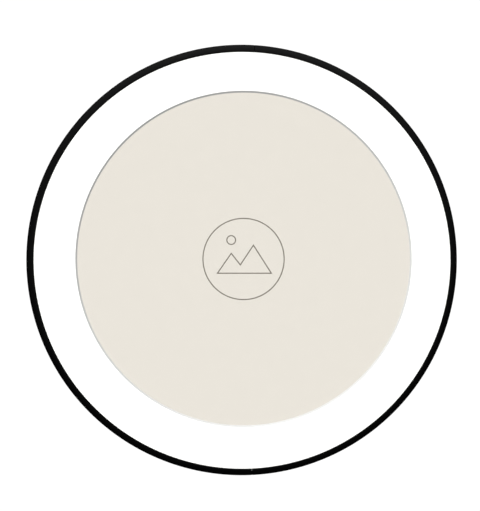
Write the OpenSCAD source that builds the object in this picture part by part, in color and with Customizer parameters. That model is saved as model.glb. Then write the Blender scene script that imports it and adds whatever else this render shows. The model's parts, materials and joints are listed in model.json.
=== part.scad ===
// Round photo frame that hangs flat on a wall.
// All sizes are in millimetres. The ring's axis lies along Y, the front faces -Y, +Z is up,
// and the origin is the centre of the rear edge, in the plane of the wall.

/* [Ring] */
// Outer diameter of the ring
ring_d = 303; // [260:1:400]
// Distance from the wall to the front face
ring_depth = 18; // [17:0.5:24]
// Width of the black face seen from the front
face_w = 4.6; // [4:0.1:6]
// Thickness of the lip that covers the edge of the glass
lip_t = 1.2; // [1.1:0.1:2]
// Thickness of the outer wall
wall_t = 1.5; // [1.4:0.05:1.7]
// How far the rib behind the tongues stands in from the wall
rib_h = 1.1; // [1:0.05:1.3]
// Thickness of the rib
rib_t = 1.2; // [1:0.1:1.6]
// How far the crowned front face falls away towards its outer edge
face_fall = 1; // [0.4:0.1:1.2]
// Rounding of the outer front edge
outer_edge_r = 0.5; // [0.2:0.1:0.7]
// Rounding of the inner front edge
inner_edge_r = 0.3; // [0.2:0.1:0.6]

/* [Joints of the ring] */
// Angle of the top joint to the right of the middle, in degrees
top_joint_deg = 3.5; // [0:0.1:6]
// Angle of the bottom joint to the right of the middle, in degrees
bottom_joint_deg = 2.8; // [0:0.1:6]
// Opening left at the top joint
top_joint_gap = 0.06; // [0.02:0.02:0.2]
// Opening left at the bottom joint
bottom_joint_gap = 0.1; // [0.02:0.02:0.3]

/* [Splices] */
// Length of a splice strip along the ring
splice_len = 44; // [40:1:60]
// Width of a splice strip
splice_w = 4.4; // [4:0.1:4.6]
// Thickness of a splice strip
splice_t = 1; // [0.9:0.05:1]
// Distance from a joint to the nearer screw of each arc
splice_screw_near = 6; // [5:0.5:8]
// Distance from a joint to the further screw of each arc
splice_screw_far = 16; // [13:0.5:17]

/* [Picture pack] */
// Thickness of the glass
glass_t = 2; // [1.8:0.1:2.2]
// Thickness of the window mount
mat_t = 1.3; // [1.2:0.1:1.5]
// Thickness of the insert sheet
sheet_t = 0.3; // [0.2:0.05:0.4]
// Thickness of the filler card
filler_t = 1.7; // [1.2:0.1:1.9]
// Thickness of the back board
board_t = 3; // [2.8:0.1:3.2]
// Diameter of the window at the front face of the mount
window_d = 237; // [150:1:260]
// Distance from the ring's axis to the window's centre, to the right
window_right = 1.4; // [0:0.1:3]
// Distance from the ring's axis to the window's centre, upwards
window_up = 0.7; // [0:0.1:3]

/* [Turn buttons] */
// Width of a turn button
button_w = 10; // [8:0.5:12]
// Reach of the tongue from the pivot
button_reach = 14; // [12:0.5:17]
// Reach of the tail from the pivot
button_tail = 8; // [7:0.5:9]
// Thickness of the sheet steel
button_t = 0.8; // [0.6:0.1:1]
// Height of the bent thumb tab over the button
button_tab_h = 2; // [1.5:0.1:2.5]
// Diameter of the pivot hole
button_bore_d = 3.1; // [3.1:0.02:3.18]

/* [Hanger plate] */
// Width of the hanger plate
hanger_w = 20; // [18:1:26]
// Height of the plate's middle above the ring's axis
hanger_up = 118; // [100:1:120]
// Length of the raised middle
hanger_bridge = 25; // [24:1:28]
// Length of each foot
hanger_foot = 9; // [8:0.5:10]
// Room for a nail head under the raised middle
hanger_lift = 3.2; // [2.8:0.1:3.6]
// Thickness of the plate
hanger_t = 1; // [0.8:0.1:1]
// Diameter of the keyhole's round entry
keyhole_d = 9; // [8:0.5:10]
// Width of the keyhole's slot
keyhole_slot_w = 4.4; // [3.5:0.1:5]
// Distance from the entry's centre to the nail's seat
keyhole_rise = 10; // [9:0.5:10.5]

/* [Hidden] */
button_count = 6;

// Facets of large rings and of small holes
ring_fn = 240;
hole_fn = 48;
// How far a cutter runs past the face that it cuts
past = 1;

// Radii, from outside to inside
r_out = ring_d / 2;
r_wall = r_out - wall_t;
r_rib = r_wall - rib_h;
r_sight = r_out - face_w;
rib_clearance = 0.3;
r_pack = r_rib - rib_clearance;
r_window = window_d / 2;

// The front face is an arc that lies square to the axis at its inner edge. Its radius is rounded
// to whole hundredths, and the rounding of the outer edge stands a trace proud of the arc, so that
// the two cross instead of only touching.
crown_w = face_w - inner_edge_r;
crown_r = round(50 * (crown_w * crown_w + face_fall * face_fall) / face_fall) / 100;
crown_lean = asin((crown_w - outer_edge_r) / (crown_r - outer_edge_r));
crown_z = ring_depth - crown_r;
outer_edge_lift = 0.01;
outer_edge_z = crown_z + (crown_r - outer_edge_r) * cos(crown_lean) + outer_edge_lift;

// Heights above the wall, from front to back
z_lip = ring_depth - lip_t;
z_glass = z_lip - glass_t;
z_mat = z_glass - mat_t;
z_sheet = z_mat - sheet_t;
z_filler = z_sheet - filler_t;
z_board = z_filler - board_t;
button_play = 0.1;
z_button = z_board - button_play - button_t;
z_rivet_seat = z_button - button_play;
z_rib = z_rivet_seat - rib_t;

// Places of the two joints, counted anticlockwise from the right as seen from the front
top_joint = 90 - top_joint_deg;
bottom_joint = 270 + bottom_joint_deg;

// Splice strips lie against the wall behind the rib
splice_glue = 0.05;
r_splice = r_wall - splice_glue - splice_t;
z_splice = (z_rib - splice_w) / 2;
splice_screw_r = 0.95;
splice_screw_head_r = 1.8;
splice_screw_clearance = 0.1;
tapped_r = 1;
tapped_depth = 1;
recess_len = 2;
recess_w = 0.45;
recess_depth = 0.5;

// Turn buttons and their tubular rivets
tongue_clearance = 0.3;
r_pivot = r_wall - tongue_clearance - button_reach;
button_shank_r = 1.5;
button_flange_r = 3.1;
rivet_bore_share = 0.6;
rivet_flange_t = 0.7;
rivet_edge_r = 0.35;
rivet_hole_play = 0.1;
counterbore_play = 0.3;
set_flange_extra_r = 0.5;

// Hanger plate and its rivets
hanger_run = hanger_lift;
hanger_corner_r = 2.5;
hanger_bend = tan(22.5) * hanger_t;
hanger_half = hanger_bridge / 2 + hanger_run + hanger_foot;
hanger_rivet_x = hanger_w / 2 - 4;
hanger_rivet_y = hanger_half - hanger_foot / 2 - hanger_bend / 2;
hanger_shank_r = 1.2;
hanger_flange_r = 2.4;
keyhole_below = 3.5;
keyhole_y = keyhole_below + keyhole_d / 2 - hanger_bridge / 2;

// Colours
ring_black = [0.06, 0.06, 0.06];
glass_tint = [0.8, 0.9, 0.9, 0.25];
mat_white = [0.97, 0.97, 0.96];
sheet_beige = [0.9, 0.85, 0.8];
card_grey = [0.62, 0.6, 0.56];
board_brown = [0.55, 0.4, 0.26];
zinc = [0.72, 0.73, 0.75];

// Angle at the ring's centre of a length along a circle
function arc_deg(len, r) = len / r * 180 / PI;

// Direction of a turn button from the ring's centre
function button_deg(i) = (i - 1) * 360 / button_count;

// Stands the lying frame up: its front, modelled towards +Z, faces -Y
module upright() {
    rotate([90, 0, 0]) children();
}

// Places what is drawn along X at an angle on the ring
module at_angle(deg) {
    rotate([0, 0, deg]) children();
}

// What a rounded edge takes off a square corner whose sides run along dx and dy
module corner_waste(r, dx, dy) {
    difference() {
        translate([dx > 0 ? -past : -r, dy > 0 ? -past : -r]) square(r + past);
        translate([dx * r, dy * r]) circle(r = r, $fn = hole_fn);
    }
}

// What the crown takes off the front face, seen from the centre of its arc
module crown_waste() {
    difference() {
        square([crown_w + past, crown_r + past]);
        circle(r = crown_r, $fn = ring_fn);
    }
}

// What the rounded outer edge takes off below the crown, seen from the centre of its arc
module outer_edge_waste() {
    over = outer_edge_r + past;
    difference() {
        polygon([[0, 0], over * [sin(crown_lean), cos(crown_lean)], [over, over], [over, 0]]);
        circle(r = outer_edge_r, $fn = hole_fn);
    }
}

// Section of the ring: outer wall, front lip and inner rib
module ring_section() {
    difference() {
        union() {
            translate([r_wall, 0]) square([wall_t, ring_depth]);
            translate([r_rib, z_rib]) square([r_out - r_rib, rib_t]);
            translate([r_sight, z_lip]) square([face_w, lip_t]);
        }
        translate([r_sight, ring_depth]) corner_waste(inner_edge_r, 1, -1);
        translate([r_sight + inner_edge_r, crown_z]) crown_waste();
        translate([r_out - outer_edge_r, outer_edge_z]) outer_edge_waste();
    }
}

// Angles of the four screws of a splice at a joint
function splice_screw_degs(joint) = [
    for (side = [-1, 1], len = [splice_screw_near, splice_screw_far])
        joint + side * arc_deg(len, r_wall)
];

// Places children at each screw of a splice, with +Z outwards through the strip
module at_splice_screws(joint) {
    for (deg = splice_screw_degs(joint))
        at_angle(deg)
            translate([r_splice, 0, z_splice + splice_w / 2])
                rotate([0, 90, 0]) children();
}

// One bent arc of the ring between two joints, with its tapped blind holes
module frame_arc(from, to, from_gap, to_gap) {
    trim_from = arc_deg(from_gap / 2, r_out);
    trim_to = arc_deg(to_gap / 2, r_out);
    color(ring_black) upright() difference() {
        at_angle(from + trim_from)
            rotate_extrude(angle = to - from - trim_from - trim_to, $fn = ring_fn) ring_section();
        for (joint = [from, to])
            at_splice_screws(joint)
                cylinder(r = tapped_r, h = splice_t + splice_glue + tapped_depth, $fn = hole_fn);
    }
}

module frame_arc_left() {
    frame_arc(top_joint, bottom_joint, top_joint_gap, bottom_joint_gap);
}

module frame_arc_right() {
    frame_arc(bottom_joint, top_joint + 360, bottom_joint_gap, top_joint_gap);
}

// Countersunk shape of a screw, or with play of its hole, head at the strip's inner face
module screw_shape(play = 0) {
    cone_h = splice_screw_head_r - splice_screw_r;
    tip_gap = 0.1;
    cylinder(r1 = splice_screw_head_r + play, r2 = splice_screw_r + play, h = cone_h, $fn = hole_fn);
    cylinder(
        r = splice_screw_r + play,
        h = splice_t + splice_glue + tapped_depth - tip_gap,
        $fn = hole_fn
    );
}

// Curved steel strip that joins the two arcs
module splice(joint) {
    span = arc_deg(splice_len, r_wall);
    color(zinc) upright() difference() {
        at_angle(joint - span / 2)
            rotate_extrude(angle = span, $fn = ring_fn)
                translate([r_splice, z_splice]) square([splice_t, splice_w]);
        at_splice_screws(joint) screw_shape(splice_screw_clearance);
    }
}

module splice_top() {
    splice(top_joint);
}

module splice_bottom() {
    splice(bottom_joint);
}

// The four screws of a splice, each with a cross recess
module splice_screws(joint) {
    color(zinc) upright() at_splice_screws(joint) difference() {
        screw_shape();
        for (turn = [0, 90])
            rotate([0, 0, turn])
                translate([-recess_len / 2, -recess_w / 2, -past])
                    cube([recess_len, recess_w, past + recess_depth]);
    }
}

module splice_screws_top() {
    splice_screws(top_joint);
}

module splice_screws_bottom() {
    splice_screws(bottom_joint);
}

// One flat disc of the picture pack
module pack_disc(z, t) {
    translate([0, 0, z]) cylinder(r = r_pack, h = t, $fn = ring_fn);
}

module glass() {
    color(glass_tint) upright() pack_disc(z_glass, glass_t);
}

// Window mount, its opening cut at 45 degrees so that the bevel faces the viewer
module mat() {
    slope_h = mat_t + 2 * past;
    color(mat_white) upright() difference() {
        pack_disc(z_mat, mat_t);
        translate([window_right, window_up, z_mat - past])
            cylinder(r1 = r_window - mat_t - past, r2 = r_window + past, h = slope_h, $fn = ring_fn);
    }
}

module insert_sheet() {
    color(sheet_beige) upright() pack_disc(z_sheet, sheet_t);
}

module filler_card() {
    color(card_grey) upright() pack_disc(z_filler, filler_t);
}

// Places children at each turn button's pivot
module at_pivots() {
    for (i = [1 : button_count])
        at_angle(button_deg(i)) translate([r_pivot, 0, 0]) children();
}

// Places children at each rivet of the hanger plate
module at_hanger_rivets() {
    for (x = [-hanger_rivet_x, hanger_rivet_x], y = [-hanger_rivet_y, hanger_rivet_y])
        translate([x, hanger_up + y, 0]) children();
}

// Hole through the back board for a tubular rivet, counterbored at the front for its set end
module rivet_hole(shank_r, flange_r) {
    sink_r = flange_r + set_flange_extra_r + counterbore_play;
    sink_h = rivet_flange_t + rivet_hole_play;
    translate([0, 0, z_board - past])
        cylinder(r = shank_r + rivet_hole_play, h = board_t + 2 * past, $fn = hole_fn);
    translate([0, 0, z_board + board_t - sink_h])
        cylinder(r = sink_r, h = sink_h + past, $fn = hole_fn);
}

// Tubular rivet from its flange at the back to its set end in the board's front face
module tubular_rivet(shank_r, flange_r, z_seat) {
    bore_r = shank_r * rivet_bore_share;
    z_back = z_seat - rivet_flange_t;
    z_set = z_board + board_t - rivet_flange_t;
    set_r = flange_r + set_flange_extra_r;
    rotate_extrude($fn = hole_fn) difference() {
        union() {
            translate([bore_r, z_back])
                square([shank_r - bore_r, z_set + rivet_flange_t - rivet_hole_play - z_back]);
            translate([bore_r, z_back]) square([flange_r - bore_r, rivet_flange_t]);
            translate([bore_r, z_set - rivet_hole_play])
                square([set_r - bore_r, rivet_flange_t]);
        }
        translate([flange_r, z_back]) corner_waste(rivet_edge_r, -1, 1);
        translate([bore_r, z_back]) corner_waste(rivet_edge_r, 1, 1);
    }
}

module back_board() {
    color(board_brown) upright() difference() {
        pack_disc(z_board, board_t);
        at_pivots() rivet_hole(button_shank_r, button_flange_r);
        at_hanger_rivets() rivet_hole(hanger_shank_r, hanger_flange_r);
    }
}

// Flat outline of a turn button: pivot at the origin, round tongue along +X, square tail
module button_outline() {
    nose_r = button_w / 2;
    difference() {
        union() {
            translate([-button_tail, -nose_r]) square([button_tail + button_reach - nose_r, button_w]);
            translate([button_reach - nose_r, 0]) circle(r = nose_r, $fn = hole_fn);
        }
        circle(d = button_bore_d, $fn = hole_fn);
    }
}

// Turn button with its tongue in front of the rib and its tail bent up as a thumb tab
module turn_button(i) {
    color(zinc) upright() at_angle(button_deg(i)) translate([r_pivot, 0, z_button]) {
        linear_extrude(height = button_t) button_outline();
        translate([-button_tail, -button_w / 2, -button_tab_h])
            cube([button_t, button_w, button_tab_h + button_t]);
    }
}

module button_rivets() {
    color(zinc) upright() at_pivots()
        tubular_rivet(button_shank_r, button_flange_r, z_rivet_seat);
}

// Side view of the hanger plate: two feet, two sloping legs and the raised middle
module hanger_profile() {
    y_bridge = hanger_bridge / 2;
    y_leg = y_bridge + hanger_run;
    top = hanger_lift + hanger_t;
    inner = [[-hanger_half, 0], [-y_leg, 0], [-y_bridge, hanger_lift],
        [y_bridge, hanger_lift], [y_leg, 0], [hanger_half, 0]];
    outer = [[hanger_half, hanger_t], [y_leg + hanger_bend, hanger_t], [y_bridge + hanger_bend, top],
        [-y_bridge - hanger_bend, top], [-y_leg - hanger_bend, hanger_t], [-hanger_half, hanger_t]];
    polygon(concat(inner, outer));
}

// Flat outline of the hanger plate with round corners
module hanger_outline() {
    x = hanger_w / 2 - hanger_corner_r;
    y = hanger_half - hanger_corner_r;
    square([2 * x, 2 * hanger_half], center = true);
    square([hanger_w, 2 * y], center = true);
    for (sx = [-x, x], sy = [-y, y])
        translate([sx, sy]) circle(r = hanger_corner_r, $fn = hole_fn);
}

// Round entry for a nail head and the slot above it
module keyhole() {
    translate([0, keyhole_y]) circle(d = keyhole_d, $fn = hole_fn);
    translate([-keyhole_slot_w / 2, keyhole_y]) square([keyhole_slot_w, keyhole_rise]);
    translate([0, keyhole_y + keyhole_rise]) circle(d = keyhole_slot_w, $fn = hole_fn);
}

module hanger_plate() {
    height = hanger_lift + hanger_t;
    color(zinc) upright() translate([0, hanger_up, z_board]) difference() {
        intersection() {
            translate([-hanger_w / 2 - past, 0, 0])
                rotate([90, 0, 90])
                    linear_extrude(height = hanger_w + 2 * past)
                        mirror([0, 1]) hanger_profile();
            translate([0, 0, -height - past])
                linear_extrude(height = height + 2 * past) hanger_outline();
        }
        translate([0, 0, -height - past]) linear_extrude(height = height + 2 * past) keyhole();
        for (x = [-hanger_rivet_x, hanger_rivet_x], y = [-hanger_rivet_y, hanger_rivet_y])
            translate([x, y, -height])
                cylinder(r = hanger_shank_r + rivet_hole_play, h = height + past, $fn = hole_fn);
    }
}

module hanger_rivets() {
    color(zinc) upright() at_hanger_rivets()
        tubular_rivet(hanger_shank_r, hanger_flange_r, z_board - hanger_t);
}

frame_arc_left();
frame_arc_right();
splice_top();
splice_bottom();
splice_screws_top();
splice_screws_bottom();
glass();
mat();
insert_sheet();
filler_card();
back_board();
for (i = [1 : button_count])
    turn_button(i);
button_rivets();
hanger_plate();
hanger_rivets();
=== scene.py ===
# Round wall frame: a thin black ring with glass, a window mount, an insert sheet and a closed back.
# Sizes are in metres. Pieces are modelled lying down, front up, so that Z is the height above the
# wall, and each is stood up when it is finished.

import json
import math

import bmesh
import bpy
from bpy.props import FloatProperty, FloatVectorProperty, PointerProperty
from mathutils import Matrix, Vector


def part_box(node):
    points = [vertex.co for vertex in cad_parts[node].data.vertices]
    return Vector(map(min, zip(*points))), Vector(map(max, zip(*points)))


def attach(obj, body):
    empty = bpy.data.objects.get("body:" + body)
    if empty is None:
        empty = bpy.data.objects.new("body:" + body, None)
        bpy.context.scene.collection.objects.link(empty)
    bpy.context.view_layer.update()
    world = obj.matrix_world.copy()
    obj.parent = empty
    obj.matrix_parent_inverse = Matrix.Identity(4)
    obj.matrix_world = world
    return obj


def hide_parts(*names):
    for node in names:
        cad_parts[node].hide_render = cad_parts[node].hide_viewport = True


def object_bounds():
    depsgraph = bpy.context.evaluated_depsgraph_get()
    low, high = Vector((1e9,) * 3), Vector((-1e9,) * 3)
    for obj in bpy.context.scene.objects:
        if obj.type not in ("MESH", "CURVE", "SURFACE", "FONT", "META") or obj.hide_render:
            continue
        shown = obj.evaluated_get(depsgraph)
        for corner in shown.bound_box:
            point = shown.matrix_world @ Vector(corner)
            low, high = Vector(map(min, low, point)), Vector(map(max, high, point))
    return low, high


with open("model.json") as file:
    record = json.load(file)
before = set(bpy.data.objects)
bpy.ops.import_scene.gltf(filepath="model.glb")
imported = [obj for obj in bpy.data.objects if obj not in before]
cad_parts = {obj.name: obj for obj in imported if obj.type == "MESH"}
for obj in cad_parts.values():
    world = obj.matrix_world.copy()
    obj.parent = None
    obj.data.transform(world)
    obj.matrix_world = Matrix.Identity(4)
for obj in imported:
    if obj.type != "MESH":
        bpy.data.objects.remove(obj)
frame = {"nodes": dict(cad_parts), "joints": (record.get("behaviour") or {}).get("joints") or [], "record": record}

bl_info = {
    "name": "Round Wall Frame",
    "version": (1, 0, 0),
    "blender": (4, 5, 0),
    "location": "3D View > Sidebar > Round Frame",
    "description": "Round metal wall frame with glass, window mount, insert sheet, boards and hanger",
    "category": "Object",
}


# Sizes read from the frame

def heights(node):
    """Lowest and highest distance of a node from the wall."""
    low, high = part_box(node)
    return -high.y, -low.y


CAD_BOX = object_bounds()
# The mesh's flats fall short of the round, so its reach is taken to a tenth of a millimetre.
RING_RADIUS = round(max(CAD_BOX[1].x, CAD_BOX[1].z, -CAD_BOX[0].x, -CAD_BOX[0].z), 4)
RING_DEPTH = -CAD_BOX[0].y
PACK_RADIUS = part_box("glass")[1].x
GLASS_REAR, GLASS_FRONT = heights("glass")
MOUNT_REAR, MOUNT_FRONT = heights("mat")
SHEET_REAR, SHEET_FRONT = heights("insert_sheet")
BOARD_REAR = heights("back_board")[0]
BUTTON_REAR, BUTTON_FRONT = heights("turn_button_1")
RIVET_REAR, RIVET_FRONT = heights("button_rivets")
HANGER_LOW, HANGER_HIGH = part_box("hanger_plate")

ORIGIN = (0.0, 0.0, 0.0)
UP = (0.0, 0.0, 1.0)
RIGHT_ANGLE = math.pi / 2

# Points closer than this are one point: in new meshes, and in the loose triangles of the solids.
MERGE = 1e-7
MERGE_SOLID = 1e-6
# Decimals of a metre to which places are told apart when parts of a mesh are sorted.
DECIMALS = 8
# Angles between faces: of one flat, of one smooth surface, and of an edge that gets broken.
FLAT = math.radians(0.5)
CREASE = math.radians(35.0)
SHARP = math.radians(40.0)
# Steps of round pieces: full turns of the discs and the rivets, and the ring's arcs.
DISC_STEPS = 240
RIVET_STEPS = 48
ARC_STEP = math.radians(1.5)

# Noise lies mostly between these values.
NOISE_LOW = 0.3
NOISE_MIDDLE = 0.5
NOISE_HIGH = 0.7
# How far noise is squeezed along each axis: evenly, for rolled sheets and for turned rivets.
EVEN = (1.0, 1.0, 1.0)
ROLLED = (1.0, 1.0, 7.0)
TURNED = (1.0, 6.0, 1.0)
WHITE = (1.0, 1.0, 1.0, 1.0)

# Corners of the drawing's hills, and place and radius of its sun, as shares of the circle's radius.
HILLS = ((-0.66, -0.36), (-0.3, 0.16), (-0.08, -0.12), (0.24, 0.36), (0.7, -0.36))
SUN = (-0.3, 0.46, 0.12)

PHOTO_PIXELS = (480, 511)
MM_PER_METRE = 1000.0
SENSOR = 0.036
FAR_CLIP = 20.0
# The room brightens between these directions, 0 being along the wall and 1 straight towards it.
DARK_UP_TO = 0.05
BRIGHT_FROM = 0.7
# A line of sight bends at both faces of the glass. A light held to that many bounces lights what lies
# behind the glass, and no surface there passes its light on.
THROUGH_GLASS = 2


# Sizes and colours that a user would change

def length(name, description, default):
    """A property that holds a length."""
    return FloatProperty(name=name, description=description, default=default, unit="LENGTH")


def angle(name, description, degrees):
    """A property that holds an angle, given here in degrees."""
    default = math.radians(degrees)
    return FloatProperty(name=name, description=description, default=default, subtype="ANGLE")


def colour(name, description, default):
    """A property that holds a linear colour."""
    return FloatVectorProperty(
        name=name, description=description, default=default, subtype="COLOR", size=3, min=0.0, max=1.0
    )


def number(name, description, default):
    """A property that holds a plain positive number."""
    return FloatProperty(name=name, description=description, default=default, min=0.0)


class RingSizes(bpy.types.PropertyGroup):
    """Section and joints of the black ring."""

    # The black face is drawn wider than the solid's, and the lip leans in towards the upper left: black that
    # stands in partly for the lip's shadow on the mount, as painted shade.
    face_width: length("Face width", "Mean width of the black face seen from the front", 0.005)
    face_fall: length("Face fall", "How far the crowned face falls away towards its outer edge", 0.001)
    lip_thickness: length("Lip thickness", "Lip in front of the glass", RING_DEPTH - GLASS_FRONT)
    lip_lean_and_shade: length("Lip lean", "How far the lip stands in on one side and out on the other", 0.0004)
    lean_towards: angle("Lean towards", "Side where the lip stands in, counted as the joints are", 143.0)
    wall_thickness: length("Wall thickness", "Outer wall", 0.0015)
    rib_height: length("Rib height", "How far the inner rib stands in from the wall", 0.0011)
    rib_front: length("Rib front", "Distance of the rib's front from the wall of the room", 0.0075)
    rib_thickness: length("Rib thickness", "Thickness of the inner rib", 0.0012)
    outer_edge: length("Outer edge", "Rounding of the outer front edge", 0.0005)
    inner_edge: length("Inner edge", "Rounding of the inner front edge", 0.0003)
    hidden_edge: length("Hidden edge", "Rounding of the edges at the back and inside", 0.0002)
    top_joint: angle("Top joint", "Place of the top joint, anticlockwise from the right", 86.5)
    bottom_joint: angle("Bottom joint", "Place of the bottom joint, anticlockwise from the right", 272.8)
    joint_gap: length("Joint gap", "Opening left between the arcs at their outer wall", 0.000001)
    end_chamfer: length("End chamfer", "Broken edge at the ends of the arcs, along the ring", 0.0002)
    end_chamfer_depth: length("End chamfer depth", "The same edge, from the surface inwards", 0.0004)
    lip_notch: length("Lip notch", "How far the lip draws back at the bottom joint", 0.00006)


class PackSizes(bpy.types.PropertyGroup):
    """Window of the mount, drawing on the insert sheet, and edges of what the ring holds."""

    window_radius: length("Window radius", "Window at the front face of the mount", 0.1185)
    window_right: length("Window right", "Window's centre to the right of the ring's", 0.0014)
    window_up: length("Window up", "Window's centre above the ring's", 0.0007)
    glass_play: length("Glass play", "Air between the glass and what it lies against", 0.00004)
    drawing_radius: length("Drawing radius", "Thin circle round the drawing on the insert", 0.029)
    drawing_line: length("Drawing line", "Width of the drawing's lines", 0.0008)
    ink_thickness: length("Ink thickness", "How far the printed lines stand off the paper", 0.00002)
    glass_edge: length("Glass edge", "Ground edge of the glass", 0.0002)
    paper_edge: length("Paper edge", "Rounding of the insert sheet's edge", 0.00003)
    board_edge: length("Board edge", "Broken edge of the back board", 0.0003)
    strip_edge: length("Strip edge", "Broken edge of the strips that join the arcs", 0.00008)
    screw_edge: length("Screw edge", "Broken edge of the screws in the strips", 0.00003)


class ButtonSizes(bpy.types.PropertyGroup):
    """Turn buttons and the tubular rivets that they turn on."""

    width: length("Width", "Width of a turn button", 0.01)
    reach: length("Reach", "Pivot to the tip of the tongue", 0.014)
    tail: length("Tail", "Pivot to the outside of the thumb tab", 0.008)
    sheet: length("Sheet", "Thickness of the steel", 0.0008)
    edge: length("Edge", "Rounding of the stamped edges", 0.00012)
    bore_radius: length("Bore radius", "Pivot hole", 0.00155)
    tab_bend: length("Tab bend", "Outer radius of the tab's bend", 0.0012)
    tab_corner: length("Tab corner", "Rounding of the tab's corners", 0.0012)
    shank_radius: length("Shank radius", "Shank of a button's rivet", 0.0015)
    flange_radius: length("Flange radius", "Flange of a button's rivet", 0.0031)
    flange_thickness: length("Flange thickness", "Flange of a rivet", 0.0007)
    set_overhang: length("Set overhang", "How much wider the set end is than the flange", 0.0005)
    rivet_bore: number("Rivet bore", "Bore of a rivet as a share of its shank", 0.6)
    rolled: number("Rolled", "Rounding of a flange as a share of its thickness", 0.45)


class HangerSizes(bpy.types.PropertyGroup):
    """Raised keyhole plate and its rivets."""

    sheet: length("Sheet", "Thickness of the plate", 0.001)
    edge: length("Edge", "Rounding of the stamped edges", 0.00015)
    bridge: length("Bridge", "Length of the raised middle", 0.025)
    lift: length("Lift", "Room under the raised middle, and the run of its sloping legs", 0.0032)
    corner: length("Corner", "Rounding of the plate's corners", 0.0025)
    tight_bend: length("Tight bend", "Inner radius of the bends", 0.0008)
    entry_radius: length("Entry radius", "Keyhole's round entry", 0.0045)
    entry_below: length("Entry below", "Entry's centre below the middle of the plate", 0.0045)
    slot_width: length("Slot width", "Keyhole's slot", 0.0044)
    rise: length("Rise", "Entry's centre to the nail's seat", 0.01)
    rivet_x: length("Rivet across", "Rivets to the side of the middle", 0.006)
    shank_radius: length("Shank radius", "Shank of a hanger rivet", 0.0012)
    flange_radius: length("Flange radius", "Flange of a hanger rivet", 0.0024)


class Finishes(bpy.types.PropertyGroup):
    """Colours of the finishes."""

    coat: colour("Powder coat", "Satin black of the ring", (0.005, 0.005, 0.0052))
    # The cut ends are a deeper, matter black than the coat: partly a matt touch-up, partly painted shade for the
    # gap at the joints.
    cut_end_shade: colour("Cut end", "Matt touch-up on the cut ends of the arcs", (0.001, 0.001, 0.001))
    glass: colour("Glass", "Clear float glass", (0.985, 0.995, 0.99))
    mount_face: colour("Mount face", "Facing paper of the window mount", (0.93, 0.928, 0.9))
    # The core is drawn much darker than the face board, as painted shade that deepens the bevel's shaded side.
    mount_core_shade: colour("Mount core", "Cut core that shows on the bevel", (0.565, 0.56, 0.55))
    insert: colour("Insert", "Beige insert paper", (0.744, 0.699, 0.633))
    ink: colour("Ink", "Grey brown lines of the drawing", (0.15, 0.13, 0.1))
    greyboard: colour("Greyboard", "Filler card", (0.4, 0.38, 0.35))
    fibreboard: colour("Fibreboard", "Back board", (0.33, 0.21, 0.12))
    zinc: colour("Zinc", "Plated sheet steel", (0.6, 0.61, 0.63))
    nickel: colour("Nickel", "Plated rivets", (0.66, 0.64, 0.6))
    floor: colour("Floor", "Plain studio floor", (0.8, 0.8, 0.79))


class StudioSettings(bpy.types.PropertyGroup):
    """Camera, lights and floor."""

    pixel: length("Pixel", "Width of one pixel of the picture at the ring's front", 0.000703)
    ring_px_right: number("Ring right", "Ring's centre in the picture, from the left", 241.57)
    ring_px_down: number("Ring down", "Ring's centre in the picture, from the top", 259.99)
    camera_distance: length("Camera distance", "Camera to the ring's front", 1.8)
    floor_drop: length("Floor drop", "Floor below the ring's centre", 0.3)
    floor_radius: length("Floor radius", "Round floor", 1.1)
    key_strength: number("Key strength", "Light from the upper left", 3.56)
    fill_strength: number("Fill strength", "Light from the front", 0.32)
    mount_strength: number("Mount strength", "Low light that only the window mount takes", 2.35)
    ring_strength: number("Ring strength", "Light from above that only the ring takes", 0.22)
    ring_fill_strength: number("Ring fill strength", "Wide light that only the ring takes", 0.17)
    rear_strength: number("Rear strength", "Light on the back", 2.0)
    backdrop_strength: number("Backdrop strength", "White that the camera sees round the object", 1.06)
    room_front: number("Room in front", "Brightness of the room in front of the object", 0.01)
    room_behind: number("Room behind", "Brightness of the room behind the object", 0.7)


# Finishes

def shader_tree(name):
    """New material whose tree holds one Principled shader and the output."""
    material = bpy.data.materials.new(name)
    material.use_nodes = True
    tree = material.node_tree
    tree.nodes.clear()
    shader = tree.nodes.new("ShaderNodeBsdfPrincipled")
    output = tree.nodes.new("ShaderNodeOutputMaterial")
    tree.links.new(shader.outputs["BSDF"], output.inputs["Surface"])
    return material, tree, shader


def grain(tree, per_metre, detail=2.0, stretch=EVEN, curl=0.0):
    """Noise laid out on the piece's own coordinates, in waves per metre."""
    place = tree.nodes.new("ShaderNodeTexCoord")
    mapping = tree.nodes.new("ShaderNodeMapping")
    noise = tree.nodes.new("ShaderNodeTexNoise")
    mapping.inputs["Scale"].default_value = stretch
    noise.inputs["Scale"].default_value = per_metre
    noise.inputs["Detail"].default_value = detail
    noise.inputs["Distortion"].default_value = curl
    tree.links.new(place.outputs["Object"], mapping.inputs["Vector"])
    tree.links.new(mapping.outputs["Vector"], noise.inputs["Vector"])
    return noise.outputs["Fac"]


def spread(tree, value, low, high, socket):
    """Feeds a number socket with noise, spread from low to high."""
    spreader = tree.nodes.new("ShaderNodeMapRange")
    spreader.inputs["From Min"].default_value = NOISE_LOW
    spreader.inputs["From Max"].default_value = NOISE_HIGH
    spreader.inputs["To Min"].default_value = low
    spreader.inputs["To Max"].default_value = high
    tree.links.new(value, spreader.inputs["Value"])
    tree.links.new(spreader.outputs["Result"], socket)


def shaded(base, factor):
    """A colour made darker or lighter, with the alpha that a ramp's stop wants."""
    return (*(min(1.0, channel * factor) for channel in base), 1.0)


def tinted(tree, value, base, darkest, lightest, half_width=0.15):
    """Ramp across the noise from a darker to a lighter shade of a colour."""
    ramp = tree.nodes.new("ShaderNodeValToRGB")
    first, last = ramp.color_ramp.elements
    first.position = NOISE_MIDDLE - half_width
    first.color = shaded(base, darkest)
    last.position = NOISE_MIDDLE + half_width
    last.color = shaded(base, lightest)
    tree.links.new(value, ramp.inputs["Fac"])
    return ramp.outputs["Color"]


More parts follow.
